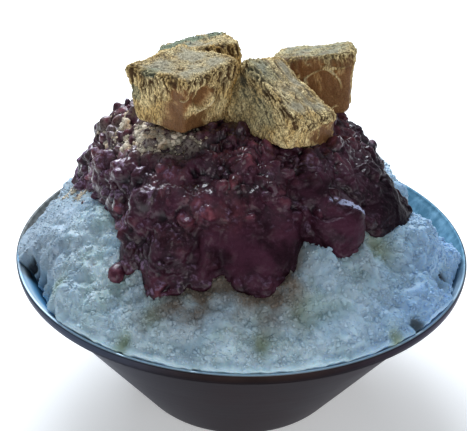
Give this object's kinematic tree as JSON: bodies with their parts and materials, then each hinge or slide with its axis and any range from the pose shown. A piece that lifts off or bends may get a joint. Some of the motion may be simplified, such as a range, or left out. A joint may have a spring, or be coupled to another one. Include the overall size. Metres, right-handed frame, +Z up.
{
  "type": "bingsu, shaved ice dessert in its bowl",
  "caption": "Bingsu: shaved ice heaped in a wide steel bowl, topped with stewed sweet red beans and rice cakes dusted with soybean powder.",
  "frame": {"origin": "centre of the bowl's flat base, where it stands on the table", "axes": "+Z up along the bowl's axis, -Y towards the front of the dish, +X to its right"},
  "size_m": [0.18, 0.18, 0.148],
  "materials": {
    "steel": "smoothly polished stainless steel, darker outside, with a bright lip",
    "shaved_ice": "fluffy, translucent shaved ice with a bluish white cast, stained where bean syrup has run in",
    "red_beans": "wet, glossy dark purple-brown stewed beans in syrup, with redder beans between",
    "bean_powder": "dry, matte roasted soybean powder, streaked and worn through to the browner rice cake"
  },
  "bodies": {
    "root": {"bowl": "steel", "shaved_ice": "shaved_ice", "red_beans": "red_beans", "rice_cake_left": "bean_powder", "rice_cake_back": "bean_powder", "rice_cake_middle": "bean_powder", "rice_cake_right": "bean_powder"}
  },
  "joints": []
}
